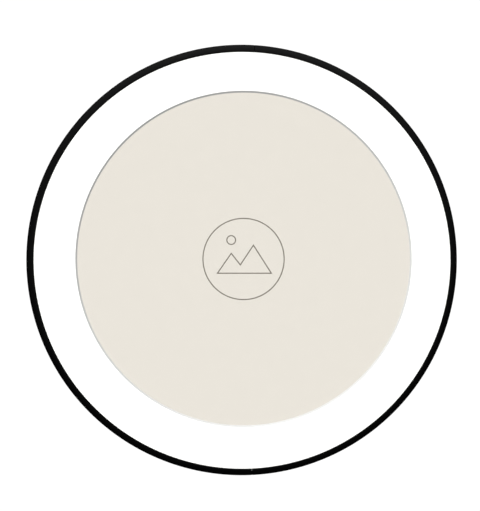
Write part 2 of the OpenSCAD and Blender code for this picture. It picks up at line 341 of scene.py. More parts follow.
def tint(tree, shader, value, base, darkest, lightest):
    """Gives the shader a colour that wanders between a darker and a lighter shade."""
    colour_out = tinted(tree, value, base, darkest, lightest)
    tree.links.new(colour_out, shader.inputs["Base Color"])


def blend_tints(tree, shader, share, first, second):
    """Gives the shader two linked colours, mixed by noise."""
    mix = tree.nodes.new("ShaderNodeMix")
    mix.data_type = "RGBA"
    spread(tree, share, 0.0, 1.0, mix.inputs["Factor"])
    tree.links.new(first, mix.inputs["A"])
    tree.links.new(second, mix.inputs["B"])
    tree.links.new(mix.outputs["Result"], shader.inputs["Base Color"])


def roughen(tree, shader, value, smoothest, roughest):
    """Spreads the shader's roughness across the noise."""
    spread(tree, value, smoothest, roughest, shader.inputs["Roughness"])


def bump_up(tree, shader, height, depth):
    """Bumps the shader's normal by a depth, on top of any bump that it has."""
    bump = tree.nodes.new("ShaderNodeBump")
    bump.inputs["Distance"].default_value = depth
    tree.links.new(height, bump.inputs["Height"])
    under = [link.from_socket for link in shader.inputs["Normal"].links]
    for normal in under:
        tree.links.new(normal, bump.inputs["Normal"])
    tree.links.new(bump.outputs["Normal"], shader.inputs["Normal"])


def mix_shaders(tree, share, first, second, output):
    """Feeds the output's surface with two shaders, mixed by a value."""
    mix = tree.nodes.new("ShaderNodeMixShader")
    tree.links.new(share, mix.inputs["Fac"])
    tree.links.new(first, mix.inputs[1])
    tree.links.new(second, mix.inputs[2])
    tree.links.new(mix.outputs["Shader"], output.inputs["Surface"])


def powder_coat(name, base, smoothest, roughest, gloss):
    """Black coat: slight orange peel under a fine matt grain."""
    material, tree, shader = shader_tree(name)
    peel = grain(tree, per_metre=700.0)
    dust = grain(tree, per_metre=5200.0, detail=1.0)
    tint(tree, shader, dust, base, darkest=0.8, lightest=1.3)
    roughen(tree, shader, peel, smoothest, roughest)
    shader.inputs["Specular IOR Level"].default_value = gloss
    bump_up(tree, shader, peel, depth=0.000012)
    bump_up(tree, shader, dust, depth=0.000004)
    return material


def paper(name, base, tooth_depth, contrast):
    """Uncoated paper: short fibres, a soft tooth and faint clouding."""
    material, tree, shader = shader_tree(name)
    tooth = grain(tree, per_metre=2600.0, detail=3.0)
    cloud = grain(tree, per_metre=260.0, detail=4.0)
    tint(tree, shader, cloud, base, darkest=1.0 - contrast, lightest=1.0 + contrast)
    roughen(tree, shader, tooth, smoothest=0.8, roughest=0.95)
    shader.inputs["Specular IOR Level"].default_value = 0.25
    bump_up(tree, shader, tooth, tooth_depth)
    return material


def cut_core(name, base):
    """Cut edge of the mount: fibres drawn out along the cut, on a base colour that is darkened as painted shade.
    """
    material, tree, shader = shader_tree(name)
    fibres = grain(tree, per_metre=3800.0, detail=4.0, stretch=(1.0, 3.0, 1.0))
    tint(tree, shader, fibres, base, darkest=0.97, lightest=1.03)
    roughen(tree, shader, fibres, smoothest=0.85, roughest=1.0)
    bump_up(tree, shader, fibres, depth=0.00002)
    return material


def printed_ink(name, base):
    """Thin printed line that lets the paper's tooth through."""
    material, tree, shader = shader_tree(name)
    speckle = grain(tree, per_metre=4200.0, detail=3.0)
    tint(tree, shader, speckle, base, darkest=0.9, lightest=1.15)
    roughen(tree, shader, speckle, smoothest=0.55, roughest=0.75)
    bump_up(tree, shader, speckle, depth=0.00001)
    return material


def recycled_board(name, base):
    """Greyboard: mixed flecks of waste paper."""
    material, tree, shader = shader_tree(name)
    flecks = grain(tree, per_metre=1400.0, detail=6.0)
    cloud = grain(tree, per_metre=120.0, detail=3.0)
    pale = tinted(tree, flecks, base, darkest=0.7, lightest=1.3, half_width=0.2)
    dark = tinted(tree, flecks, base, darkest=0.6, lightest=1.15, half_width=0.2)
    blend_tints(tree, shader, cloud, pale, dark)
    roughen(tree, shader, flecks, smoothest=0.8, roughest=0.95)
    bump_up(tree, shader, flecks, depth=0.00005)
    return material


def fibre_board(name, base):
    """Pressed fibreboard: curled fibres in warm browns under soft clouds, with fine dark flecks."""
    material, tree, shader = shader_tree(name)
    fibres = grain(tree, per_metre=380.0, detail=6.0, curl=3.5)
    flecks = grain(tree, per_metre=1700.0, detail=3.0, curl=1.5)
    cloud = grain(tree, per_metre=26.0, detail=4.0)
    warm = tinted(tree, fibres, base, darkest=0.72, lightest=1.2, half_width=0.22)
    flecked = tinted(tree, flecks, base, darkest=0.6, lightest=1.12, half_width=0.2)
    blend_tints(tree, shader, cloud, warm, flecked)
    roughen(tree, shader, fibres, smoothest=0.5, roughest=0.72)
    bump_up(tree, shader, fibres, depth=0.00004)
    bump_up(tree, shader, flecks, depth=0.00002)
    return material


def plated_steel(name, base, drawn, smoothest, roughest):
    """Plated sheet or turned steel: faint clouds and fine drawn marks."""
    material, tree, shader = shader_tree(name)
    cloud = grain(tree, per_metre=180.0, detail=3.0)
    marks = grain(tree, per_metre=900.0, detail=3.0, stretch=drawn)
    tint(tree, shader, cloud, base, darkest=0.86, lightest=1.08)
    roughen(tree, shader, marks, smoothest, roughest)
    shader.inputs["Metallic"].default_value = 1.0
    bump_up(tree, shader, marks, depth=0.000006)
    bump_up(tree, shader, cloud, depth=0.00002)
    return material


def float_glass(name, base):
    """Float glass that lets the light through to the mount, with a trace of handling on its face."""
    material, tree, shader = shader_tree(name)
    output = tree.nodes["Material Output"]
    haze = grain(tree, per_metre=14.0, detail=4.0)
    shader.inputs["Base Color"].default_value = (*base, 1.0)
    shader.inputs["Transmission Weight"].default_value = 1.0
    shader.inputs["IOR"].default_value = 1.5
    roughen(tree, shader, haze, smoothest=0.0, roughest=0.02)
    bump_up(tree, shader, haze, depth=0.00001)
    path = tree.nodes.new("ShaderNodeLightPath")
    seen = tree.nodes.new("ShaderNodeMath")
    clear = tree.nodes.new("ShaderNodeBsdfTransparent")
    seen.operation = "MAXIMUM"
    tree.links.new(path.outputs["Is Camera Ray"], seen.inputs[0])
    tree.links.new(path.outputs["Is Transmission Ray"], seen.inputs[1])
    mix_shaders(tree, seen.outputs["Value"], clear.outputs["BSDF"], shader.outputs["BSDF"], output)
    return material


def studio_floor(name, base):
    """Plain pale floor with a faint unevenness."""
    material, tree, shader = shader_tree(name)
    cloud = grain(tree, per_metre=6.0, detail=3.0)
    tint(tree, shader, cloud, base, darkest=0.98, lightest=1.01)
    roughen(tree, shader, cloud, smoothest=0.9, roughest=1.0)
    shader.inputs["Specular IOR Level"].default_value = 0.0
    return material


def finish(name):
    """A finish by name, made once."""
    made = bpy.data.materials.get(name)
    if made is not None:
        return made
    colours = bpy.context.scene.frame_finishes
    makers = {
        "powder_coat": lambda: powder_coat(name, colours.coat, smoothest=0.36, roughest=0.46, gloss=0.5),
        "cut_end_shade": lambda: powder_coat(name, colours.cut_end_shade, smoothest=0.85, roughest=0.95, gloss=0.1),
        "mount_face": lambda: paper(name, colours.mount_face, tooth_depth=0.000008, contrast=0.004),
        "mount_core_shade": lambda: cut_core(name, colours.mount_core_shade),
        "beige_paper": lambda: paper(name, colours.insert, tooth_depth=0.00001, contrast=0.008),
        "printed_ink": lambda: printed_ink(name, colours.ink),
        "greyboard": lambda: recycled_board(name, colours.greyboard),
        "pressed_board": lambda: fibre_board(name, colours.fibreboard),
        "zinc_sheet": lambda: plated_steel(name, colours.zinc, ROLLED, smoothest=0.26, roughest=0.42),
        "zinc_screw": lambda: plated_steel(name, colours.zinc, EVEN, smoothest=0.3, roughest=0.45),
        "nickel_rivet": lambda: plated_steel(name, colours.nickel, TURNED, smoothest=0.16, roughest=0.28),
        "float_glass": lambda: float_glass(name, colours.glass),
        "studio_floor": lambda: studio_floor(name, colours.floor),
    }
    return makers[name]()


# Outlines

def arc(x, y, radius, start, end, steps=6):
    """Points along a round stretch of an outline."""
    turns = [start + (end - start) * i / steps for i in range(steps + 1)]
    return [(x + radius * math.cos(turn), y + radius * math.sin(turn)) for turn in turns]


def full_circle(x, y, radius, steps):
    """Outline of a circle, without its last point, which is the first again."""
    return arc(x, y, radius, 0.0, math.tau, steps)[:-1]


def rounded(corners, step=math.radians(15.0)):
    """Outline through corners (x, y, radius), each corner turned into an arc of that radius."""
    points = []
    for i, (x, y, radius) in enumerate(corners):
        here = Vector((x, y))
        if radius == 0.0:
            points.append((x, y))
            continue
        back = (Vector(corners[i - 1][:2]) - here).normalized()
        on = (Vector(corners[(i + 1) % len(corners)][:2]) - here).normalized()
        half = back.angle(on) / 2
        centre = here + (back + on).normalized() * radius / math.sin(half)
        first = here + back * radius / math.tan(half) - centre
        last = here + on * radius / math.tan(half) - centre
        turn = -first.angle_signed(last)
        steps = max(2, round(abs(turn) / step))
        start = math.atan2(first.y, first.x)
        points += arc(centre.x, centre.y, radius, start, start + turn, steps)
    return points


def path_lengths(path):
    """Distance of each point of a path from its start, along the path."""
    run = [0.0]
    for here, after in zip(path, path[1:]):
        run.append(run[-1] + math.dist(here, after))
    return run


def along_path(path, run, distance):
    """Point of a path at a distance from its start."""
    for i in range(1, len(path)):
        if distance <= run[i] or i == len(path) - 1:
            share = (distance - run[i - 1]) / (run[i] - run[i - 1])
            return [a + (b - a) * share for a, b in zip(path[i - 1], path[i])]


# Mesh steps

def flat_face(bm, points, height=0.0):
    """One flat face through the points of an outline, without doubled points."""
    verts = [bm.verts.new((x, y, height)) for x, y in points]
    face = bm.faces.new(verts)
    bmesh.ops.remove_doubles(bm, verts=verts, dist=MERGE)
    return bm.faces[-1] if not face.is_valid else face


def stand_up(bm):
    """Turns the lying model upright, its front towards the viewer."""
    bmesh.ops.rotate(bm, verts=bm.verts, cent=ORIGIN, matrix=Matrix.Rotation(RIGHT_ANGLE, 3, "X"))


def sharp_edges(bm):
    """Edges at which two faces meet at a sharp angle."""
    return [edge for edge in bm.edges if edge.is_manifold and edge.calc_face_angle() > SHARP]


def soften(bm, edges, width, segments=2):
    """Rounds edges."""
    bmesh.ops.bevel(
        bm, geom=edges, offset=width, offset_type="OFFSET", segments=segments, profile=0.5,
        affect="EDGES", clamp_overlap=True, material=-1,
    )


def fold(bm, path):
    """Bends a flat blank that lies along X so that it follows a side view of (x, z) points."""
    run = path_lengths(path)
    across = Vector((1.0, 0.0, 0.0))
    for cut in run[1:-1]:
        geom = bm.verts[:] + bm.edges[:] + bm.faces[:]
        bmesh.ops.bisect_plane(bm, geom=geom, dist=MERGE, plane_co=across * cut, plane_no=across)
    for vert in bm.verts:
        vert.co.x, vert.co.z = along_path(path, run, vert.co.x)


def sheet_metal(half_outline, path, sheet, edge):
    """Stamped and folded sheet: half a blank, mirrored, bent along a path, thickened, edges broken."""
    bm = bmesh.new()
    flat_face(bm, half_outline)
    geom = bm.verts[:] + bm.edges[:] + bm.faces[:]
    bmesh.ops.mirror(bm, geom=geom, matrix=Matrix.Identity(4), merge_dist=MERGE, axis="Y")
    fold(bm, path)
    bmesh.ops.remove_doubles(bm, verts=bm.verts, dist=MERGE)
    bmesh.ops.recalc_face_normals(bm, faces=bm.faces)
    if sum(face.normal.z * face.calc_area() for face in bm.faces) < 0.0:
        bmesh.ops.reverse_faces(bm, faces=bm.faces)
    bmesh.ops.solidify(bm, geom=bm.faces[:], thickness=sheet)
    bmesh.ops.recalc_face_normals(bm, faces=bm.faces)
    soften(bm, sharp_edges(bm), edge)
    return bm


def place(bm, x, y, turn):
    """Turns a mesh about the origin and sets it down at x, y."""
    bmesh.ops.rotate(bm, verts=bm.verts, cent=ORIGIN, matrix=Matrix.Rotation(turn, 3, "Z"))
    bmesh.ops.translate(bm, verts=bm.verts, vec=(x, y, 0.0))


def add_turned(bm, outline, x, y, steps):
    """Adds a closed outline of (radius, height) points, turned full circle about an upright axis."""
    verts = [bm.verts.new((x + radius, y, height)) for radius, height in outline]
    edges = [bm.edges.new((verts[i - 1], verts[i])) for i in range(len(verts))]
    bmesh.ops.spin(
        bm, geom=verts + edges, cent=(x, y, 0.0), axis=UP, angle=math.tau, steps=steps, use_merge=True
    )


def lift(bm, faces, height):
    """Gives flat faces a thickness, upwards."""
    lifted = bmesh.ops.extrude_face_region(bm, geom=faces)["geom"]
    tops = [part for part in lifted if isinstance(part, bmesh.types.BMVert)]
    bmesh.ops.translate(bm, verts=tops, vec=(0.0, 0.0, height))


def add_disc(bm, radius, rear, front, edge):
    """Adds a flat disc with broken edges."""
    level = Matrix.Translation((0.0, 0.0, rear))
    made = bmesh.ops.create_circle(bm, cap_ends=True, radius=radius, segments=DISC_STEPS, matrix=level)
    faces = list({face for vert in made["verts"] for face in vert.link_faces})
    lift(bm, faces, front - rear)
    bmesh.ops.recalc_face_normals(bm, faces=bm.faces)
    soften(bm, sharp_edges(bm), edge)


def middle(verts):
    """Mean place of some points."""
    return [round(math.fsum(axis) / len(verts), DECIMALS) for axis in zip(*(vert.co for vert in verts))]


def set_order(bm):
    """Sorts points, edges and faces by place, because sweeping leaves their order open."""
    for parts in (bm.verts, bm.edges, bm.faces):
        places = {part: middle(getattr(part, "verts", [part])) for part in parts}
        for index, part in enumerate(sorted(parts, key=places.get)):
            part.index = index
        parts.sort()


def finish_piece(bm, name, body, slot, finishes, *nodes, lying=True):
    """Makes a piece of a mesh: it rides on a body and stands for the CAD nodes that it replaces."""
    bmesh.ops.remove_doubles(bm, verts=bm.verts, dist=MERGE)
    bmesh.ops.recalc_face_normals(bm, faces=bm.faces)
    set_order(bm)
    if lying:
        stand_up(bm)
    mesh = bpy.data.meshes.new(name)
    bm.to_mesh(mesh)
    bm.free()
    mesh.shade_smooth()
    mesh.set_sharp_from_angle(angle=CREASE)
    for kind in finishes:
        mesh.materials.append(finish(kind))
    piece = bpy.data.objects.new(name, mesh)
    flats = piece.modifiers.new("flat_faces", "WEIGHTED_NORMAL")
    flats.keep_sharp = True
    bpy.context.scene.collection.objects.link(piece)
    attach(piece, body)
    if nodes:
        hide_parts(*nodes)


def dressed_copy(node, name, body, slot, kind, edge):
    """Copy of a CAD node with its loose triangles joined, its flats cleared and its edges broken."""
    bm = bmesh.new()
    bm.from_mesh(frame["nodes"][node].data)
    bmesh.ops.remove_doubles(bm, verts=bm.verts, dist=MERGE_SOLID)
    bmesh.ops.dissolve_limit(bm, angle_limit=FLAT, verts=bm.verts, edges=bm.edges)
    soften(bm, sharp_edges(bm), edge, segments=1)
    finish_piece(bm, name, body, slot, [kind], node, lying=False)


def repaint(node, kind):
    """Gives a CAD node that stays a finish of its own."""
    mesh = frame["nodes"][node].data
    mesh.materials.clear()
    mesh.materials.append(finish(kind))


# Pieces

def ring_outline(ring):
    """Section of the ring as (radius, height) points, over the face and back along the inside."""
    sight = RING_RADIUS - ring.face_width
    wall = RING_RADIUS - ring.wall_thickness
    rib = wall - ring.rib_height
    lip_rear = RING_DEPTH - ring.lip_thickness
    rib_rear = ring.rib_front - ring.rib_thickness
    crown_width = ring.face_width - ring.inner_edge
    crown_radius = (crown_width ** 2 + ring.face_fall ** 2) / (2 * ring.face_fall)
    crown_height = RING_DEPTH - crown_radius
    lean = math.asin((crown_width - ring.outer_edge) / (crown_radius - ring.outer_edge))
    edge_height = crown_height + (crown_radius - ring.outer_edge) * math.cos(lean)
    face_end = RIGHT_ANGLE - lean
    hidden = ring.hidden_edge
    inner_top = sight + ring.inner_edge
    inner_height = RING_DEPTH - ring.inner_edge
    outer = arc(RING_RADIUS - ring.outer_edge, edge_height, ring.outer_edge, 0.0, face_end)
    crown = arc(inner_top, crown_height, crown_radius, face_end, RIGHT_ANGLE, steps=14)
    inner = arc(inner_top, inner_height, ring.inner_edge, RIGHT_ANGLE, math.pi)
    inside = rounded([
        (sight, inner_height, 0.0),
        (sight, lip_rear, hidden / 2),
        (wall, lip_rear, hidden),
        (wall, ring.rib_front, hidden),
        (rib, ring.rib_front, hidden),
        (rib, rib_rear, hidden),
        (wall, rib_rear, hidden),
        (wall, 0.0, hidden),
        (RING_RADIUS, 0.0, hidden),
        (RING_RADIUS, edge_height, 0.0),
    ], step=math.radians(30.0))
    return outer + crown[1:] + inner[1:] + inside[1:-1]


def lip_share(ring, point):
    """How far in over the glass a point of the ring lies: 0 at the wall, 1 at the lip's inner edge."""
    if point.z < RING_DEPTH - 2 * ring.lip_thickness:
        return 0.0
    wall = RING_RADIUS - ring.wall_thickness
    return max(0.0, (wall - point.xy.length) / (ring.face_width - ring.wall_thickness))


def draw_back_lip(face, ring, notch, sense):
    """Draws the lip back at an end face, most at its inner edge, so that the joint opens there."""
    for vert in face.verts:
        back = notch * lip_share(ring, vert.co)
        vert.co.rotate(Matrix.Rotation(sense * back / vert.co.xy.length, 3, "Z"))


def lean_lip_and_paint_shade(bm, ring):
    """Moves the lip's inner edge off centre, so that the black lip stands further in on one side: partly an
    off-centre lip, partly painted shade for the lip's shadow on the mount, which the key light doesn't cast.
    """
    for vert in bm.verts:
        clock = math.atan2(vert.co.y, vert.co.x)
        inwards = ring.lip_lean_and_shade * math.cos(clock - ring.lean_towards) * lip_share(ring, vert.co)
        vert.co.xy *= 1.0 - inwards / vert.co.xy.length


def ring_arc(ring, start, end, start_notch, end_notch):
    """One bent arc between two directions, with its end edges broken."""
    bm = bmesh.new()
    first = flat_face(bm, ring_outline(ring))
    stand_up(bm)
    trim = ring.end_chamfer / RING_RADIUS
    place(bm, 0.0, 0.0, start + trim)
    turn = end - start - 2 * trim
    swept = bmesh.ops.spin(
        bm, geom=[first], cent=ORIGIN, axis=UP, angle=turn, steps=round(turn / ARC_STEP), use_merge=False
    )
    last = [part for part in swept["geom_last"] if isinstance(part, bmesh.types.BMFace)][0]
    draw_back_lip(first, ring, start_notch, sense=1.0)
    draw_back_lip(last, ring, end_notch, sense=-1.0)
    lean_lip_and_paint_shade(bm, ring)
    bmesh.ops.recalc_face_normals(bm, faces=bm.faces)
    # The end faces and their chamfers take the deeper black: painted shade in the joint's gap, on top of a matt
    # touch-up.
    for end_face in (first, last):
        rim = bmesh.ops.inset_individual(
            bm, faces=[end_face], thickness=ring.end_chamfer_depth, depth=ring.end_chamfer,
            use_even_offset=True,
        )["faces"]
        for face in (end_face, *rim):
            face.material_index = 1
    return bm


def make_ring(scene):
    """The two arcs, tight at the top and slightly open at the bottom."""
    ring = scene.ring_sizes
    top = ring.top_joint
    bottom = ring.bottom_joint
    notch = ring.lip_notch
    trim = ring.joint_gap / 2 / RING_RADIUS
    left = ring_arc(ring, top + trim, bottom - trim, start_notch=0.0, end_notch=notch)
    right = ring_arc(ring, bottom + trim, top + math.tau - trim, start_notch=notch, end_notch=0.0)
    # Second finish: the deeper black of the cut ends, partly painted shade in the joints.
    coats = ["powder_coat", "cut_end_shade"]
    finish_piece(left, "ring_arc_left", "frame", "ring_black", coats, "frame_arc_left")
    finish_piece(right, "ring_arc_right", "frame", "ring_black", coats, "frame_arc_right")


def make_glass(scene):
    """Flat pane with ground edges, a trace thinner than the room between lip and mount."""
    pack = scene.pack_sizes
    play = pack.glass_play
    bm = bmesh.new()
    add_disc(bm, PACK_RADIUS, GLASS_REAR + play, GLASS_FRONT - play, pack.glass_edge)
    finish_piece(bm, "pane", "frame", "clear_glass", ["float_glass"], "glass")


def make_mount(scene):
    """Window mount: a white board whose round window is cut at 45 degrees, so that its core shows, darkened as
    painted shade on the bevel.
    """
    pack = scene.pack_sizes
    thick = MOUNT_FRONT - MOUNT_REAR
    bm = bmesh.new()
    add_turned(bm, [
        (PACK_RADIUS, MOUNT_REAR),
        (PACK_RADIUS, MOUNT_FRONT),
        (pack.window_radius, MOUNT_FRONT),
        (pack.window_radius - thick, MOUNT_REAR),
    ], 0.0, 0.0, DISC_STEPS)
    window = {vert for vert in bm.verts if vert.co.xy.length < pack.window_radius + thick}
    bmesh.ops.translate(bm, verts=list(window), vec=(pack.window_right, pack.window_up, 0.0))
    # The bevel takes the darker core: painted shade on top of the core's own tone.
    for face in bm.faces:
        face.material_index = 1 if window.issuperset(face.verts) else 0
    finish_piece(bm, "window_mount", "frame", "mat_board", ["mount_face", "mount_core_shade"], "mat")


def add_line(bm, points, width, rear, front):
    """Adds a closed printed line: the outline of a shape, of one width, raised by the ink."""
    faces = [flat_face(bm, points, rear)]
    inset = bmesh.ops.inset_individual(bm, faces=faces, thickness=width, depth=0.0, use_even_offset=True)
    bmesh.ops.delete(bm, geom=faces, context="FACES_ONLY")
    lift(bm, inset["faces"], front - rear)


def make_insert(scene):
    """Beige sheet with a plain line drawing of hills and a sun in the place of a picture."""
    pack = scene.pack_sizes
    sheet = bmesh.new()
    add_disc(sheet, PACK_RADIUS, SHEET_REAR, SHEET_FRONT, pack.paper_edge)
    finish_piece(sheet, "insert_paper", "frame", "insert_paper", ["beige_paper"], "insert_sheet")

    size = pack.drawing_radius
    sun_x, sun_y, sun_radius = (share * size for share in SUN)
    lines = [
        full_circle(0.0, 0.0, size, steps=120),
        [(x * size, y * size) for x, y in HILLS],
        full_circle(sun_x, sun_y, sun_radius, steps=40),
    ]
    ink = bmesh.new()
    for points in lines:
        add_line(ink, points, pack.drawing_line, SHEET_FRONT, SHEET_FRONT + pack.ink_thickness)
    place(ink, pack.window_right, pack.window_up, 0.0)
    finish_piece(ink, "insert_drawing", "frame", "insert_paper", ["printed_ink"])


def make_boards(scene):
    """Filler card and back board: the card keeps its solid, the board gets broken edges."""
    edge = scene.pack_sizes.board_edge
    repaint("filler_card", "greyboard")
    dressed_copy("back_board", "rear_board", "frame", "fibreboard", "pressed_board", edge)


def make_splices(scene):
    """Curved strips and their screws, on the inside of the wall at both joints."""
    pack = scene.pack_sizes
    kinds = (
        ("splice_", "splice_strip_", "zinc_steel", "zinc_sheet", pack.strip_edge),
        ("splice_screws_", "strip_screws_", "screw_steel", "zinc_screw", pack.screw_edge),
    )
    for side in ("top", "bottom"):
        for node, name, slot, kind, edge in kinds:
            dressed_copy(node + side, name + side, "frame", slot, kind, edge)


def pivots():
    """Body, node, place and direction of each turn button, as its joint gives them."""
    bodies = frame["record"]["behaviour"]["bodies"]
    for joint in frame["joints"]:
        x, _, y = joint["pos_m"]
        yield joint["child"], bodies[joint["child"]][0], x, y, math.atan2(y, x)


def turn_button(button):
    """One turn button along X, its pivot at the origin: round tongue, square tail, bent thumb tab."""
    half = button.width / 2
    side = rounded([
        (button.reach, BUTTON_FRONT, 0.0),
        (-button.tail, BUTTON_FRONT, button.tab_bend),
        (-button.tail, BUTTON_REAR, 0.0),
    ])
    pivot = button.reach
    end = path_lengths(side)[-1]
    blank = arc(half, 0.0, half, math.pi, RIGHT_ANGLE, steps=10)
    blank += rounded([(half, half, 0.0), (end, half, button.tab_corner), (end, 0.0, 0.0)])[1:]
    blank += arc(pivot, 0.0, button.bore_radius, 0.0, math.pi, steps=16)
    return sheet_metal(blank, side, button.sheet, button.edge)


def make_buttons(scene):
    """Six turn buttons, each on the body that its joint turns."""
    for body, node, x, y, turn in pivots():
        bm = turn_button(scene.button_sizes)
        place(bm, x, y, turn)
        finish_piece(bm, body + "_plate", body, "zinc_steel", ["zinc_sheet"], node)


def rivet_outline(shank, flange, seat, sizes):
    """Half section of a tubular rivet: flange at the back, rolled set end in the board's front."""
    bore = shank * sizes.rivet_bore
    thick = sizes.flange_thickness
    set_radius = flange + sizes.set_overhang
    outer_edge = thick * sizes.rolled
    seat_edge = outer_edge / 4
    return rounded([
        (bore, seat - thick, outer_edge),
        (flange, seat - thick, outer_edge),
        (flange, seat, seat_edge),
        (shank, seat, 0.0),
        (shank, RIVET_FRONT - thick, 0.0),
        (set_radius, RIVET_FRONT - thick, seat_edge),
        (set_radius, RIVET_FRONT, outer_edge),
        (bore, RIVET_FRONT, outer_edge),
    ])


def group_of_rivets(name, node, outline, places):
    """One piece of all the rivets of a kind."""
    bm = bmesh.new()
    for x, y in places:
        add_turned(bm, outline, x, y, RIVET_STEPS)
    finish_piece(bm, name, "frame", "rivet_steel", ["nickel_rivet"], node)


def make_rivets(scene):
    """Tubular rivets of the buttons and of the hanger plate."""
    buttons = scene.button_sizes
    hanger = scene.hanger_sizes
    seat = RIVET_REAR + buttons.flange_thickness
    outline = rivet_outline(buttons.shank_radius, buttons.flange_radius, seat, buttons)
    places = [(x, y) for _, _, x, y, _ in pivots()]
    group_of_rivets("pivot_rivets", "button_rivets", outline, places)

    low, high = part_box("hanger_rivets")
    inset = hanger.flange_radius + buttons.set_overhang
    seat = BOARD_REAR - hanger.sheet
    outline = rivet_outline(hanger.shank_radius, hanger.flange_radius, seat, buttons)
    rows = (low.z + inset, high.z - inset)
    places = [(x, y) for x in (-hanger.rivet_x, hanger.rivet_x) for y in rows]
    group_of_rivets("plate_rivets", "hanger_rivets", outline, places)


def make_hanger(scene):
    """Raised plate with feet, sloping legs and a keyhole."""
    hanger = scene.hanger_sizes
    half_width = (HANGER_HIGH.x - HANGER_LOW.x) / 2
    half_length = (HANGER_HIGH.z - HANGER_LOW.z) / 2
    bridge = hanger.bridge / 2
    leg = bridge + hanger.lift
    raised = BOARD_REAR - hanger.lift
    wide_bend = hanger.tight_bend + hanger.sheet
    side = rounded([
        (-half_length, BOARD_REAR, 0.0),
        (-leg, BOARD_REAR, wide_bend),
        (-bridge, raised, hanger.tight_bend),
        (bridge, raised, hanger.tight_bend),
        (leg, BOARD_REAR, wide_bend),
        (half_length, BOARD_REAR, 0.0),
    ])
    end = path_lengths(side)[-1]
    entry = end / 2 - hanger.entry_below
    slot = hanger.slot_width / 2
    mouth = math.asin(slot / hanger.entry_radius)
    seat = entry + hanger.rise
    blank = rounded([
        (0.0, 0.0, 0.0),
        (0.0, half_width, hanger.corner),
        (end, half_width, hanger.corner),
        (end, 0.0, 0.0),
    ])
    blank += arc(seat, 0.0, slot, 0.0, RIGHT_ANGLE, steps=8)
    blank += arc(entry, 0.0, hanger.entry_radius, mouth, math.pi, steps=20)
    bm = sheet_metal(blank, side, hanger.sheet, hanger.edge)
    place(bm, 0.0, (HANGER_LOW.z + HANGER_HIGH.z) / 2, RIGHT_ANGLE)
    finish_piece(bm, "keyhole_plate", "frame", "zinc_steel", ["zinc_sheet"], "hanger_plate")


# Stage

def add_floor(studio):
    """Round pale floor below the object."""
    bm = bmesh.new()
    drop = Matrix.Translation((0.0, 0.0, -studio.floor_drop))
    bmesh.ops.create_circle(bm, cap_ends=True, radius=studio.floor_radius, segments=128, matrix=drop)
    mesh = bpy.data.meshes.new("studio_floor")
    bm.to_mesh(mesh)
    bm.free()
    mesh.materials.append(finish("studio_floor"))
    floor = bpy.data.objects.new("studio_floor", mesh)
    floor.visible_glossy = False
    floor.visible_diffuse = False
    bpy.context.scene.collection.objects.link(floor)


def group_of(name, pieces, state):
    """Collection by which a light takes in only some pieces, or leaves some out."""
    group = bpy.data.collections.new(name)
    for piece in pieces:
        group.objects.link(piece)
    for entry in group.collection_objects:
        entry.light_linking.link_state = state
    return group


def add_sun(name, towards, strength, width):
    """Soft distant light that comes from a direction, its width in degrees."""
    light = bpy.data.lights.new(name, "SUN")
    light.energy = strength
    light.angle = math.radians(width)
    lamp = bpy.data.objects.new(name, light)
    lamp.rotation_mode = "QUATERNION"
    lamp.rotation_quaternion = Vector(towards).to_track_quat("Z", "Y")
    bpy.context.scene.collection.objects.link(lamp)
    return lamp


def from_front(clock, off_axis):
    """Direction of a light in front: its place round the ring and its angle off the axis, in degrees."""
    clock = math.radians(clock)
    off_axis = math.radians(off_axis)
    return (
        math.cos(clock) * math.sin(off_axis),
        -math.cos(off_axis),
        math.sin(clock) * math.sin(off_axis),
    )


def add_world(studio):
    """White backdrop, and a room that is dark in front of the object and bright behind it."""
    world = bpy.data.worlds.new("studio")
    world.use_nodes = True
    tree = world.node_tree
    tree.nodes.clear()
    place = tree.nodes.new("ShaderNodeTexCoord")
    split = tree.nodes.new("ShaderNodeSeparateXYZ")
    glow = tree.nodes.new("ShaderNodeMapRange")
    room = tree.nodes.new("ShaderNodeBackground")
    backdrop = tree.nodes.new("ShaderNodeBackground")
    path = tree.nodes.new("ShaderNodeLightPath")
    output = tree.nodes.new("ShaderNodeOutputWorld")
    glow.inputs["From Min"].default_value = DARK_UP_TO
    glow.inputs["From Max"].default_value = BRIGHT_FROM
    glow.inputs["To Min"].default_value = studio.room_front
    glow.inputs["To Max"].default_value = studio.room_behind
    room.inputs["Color"].default_value = WHITE
    backdrop.inputs["Color"].default_value = WHITE
    backdrop.inputs["Strength"].default_value = studio.backdrop_strength
    tree.links.new(place.outputs["Generated"], split.inputs["Vector"])
    tree.links.new(split.outputs["Y"], glow.inputs["Value"])
    tree.links.new(glow.outputs["Result"], room.inputs["Strength"])
    camera_ray = path.outputs["Is Camera Ray"]
    mix_shaders(tree, camera_ray, room.outputs["Background"], backdrop.outputs["Background"], output)
    bpy.context.scene.world = world


def add_camera(studio):
    """Camera square to the front, placed so that the ring falls where the picture has it."""
    wide, high = PHOTO_PIXELS
    right = (wide / 2 - studio.ring_px_right) * studio.pixel
    up = (studio.ring_px_down - high / 2) * studio.pixel
    data = bpy.data.cameras.new("front_camera")
    data.lens = MM_PER_METRE * SENSOR * studio.camera_distance / (high * studio.pixel)
    data.sensor_width = MM_PER_METRE * SENSOR
    data.clip_end = FAR_CLIP
    camera = bpy.data.objects.new("front_camera", data)
    camera.location = (right, -RING_DEPTH - studio.camera_distance, up)
    camera.rotation_euler = (RIGHT_ANGLE, 0.0, 0.0)
    bpy.context.scene.collection.objects.link(camera)
    bpy.context.scene.camera = camera


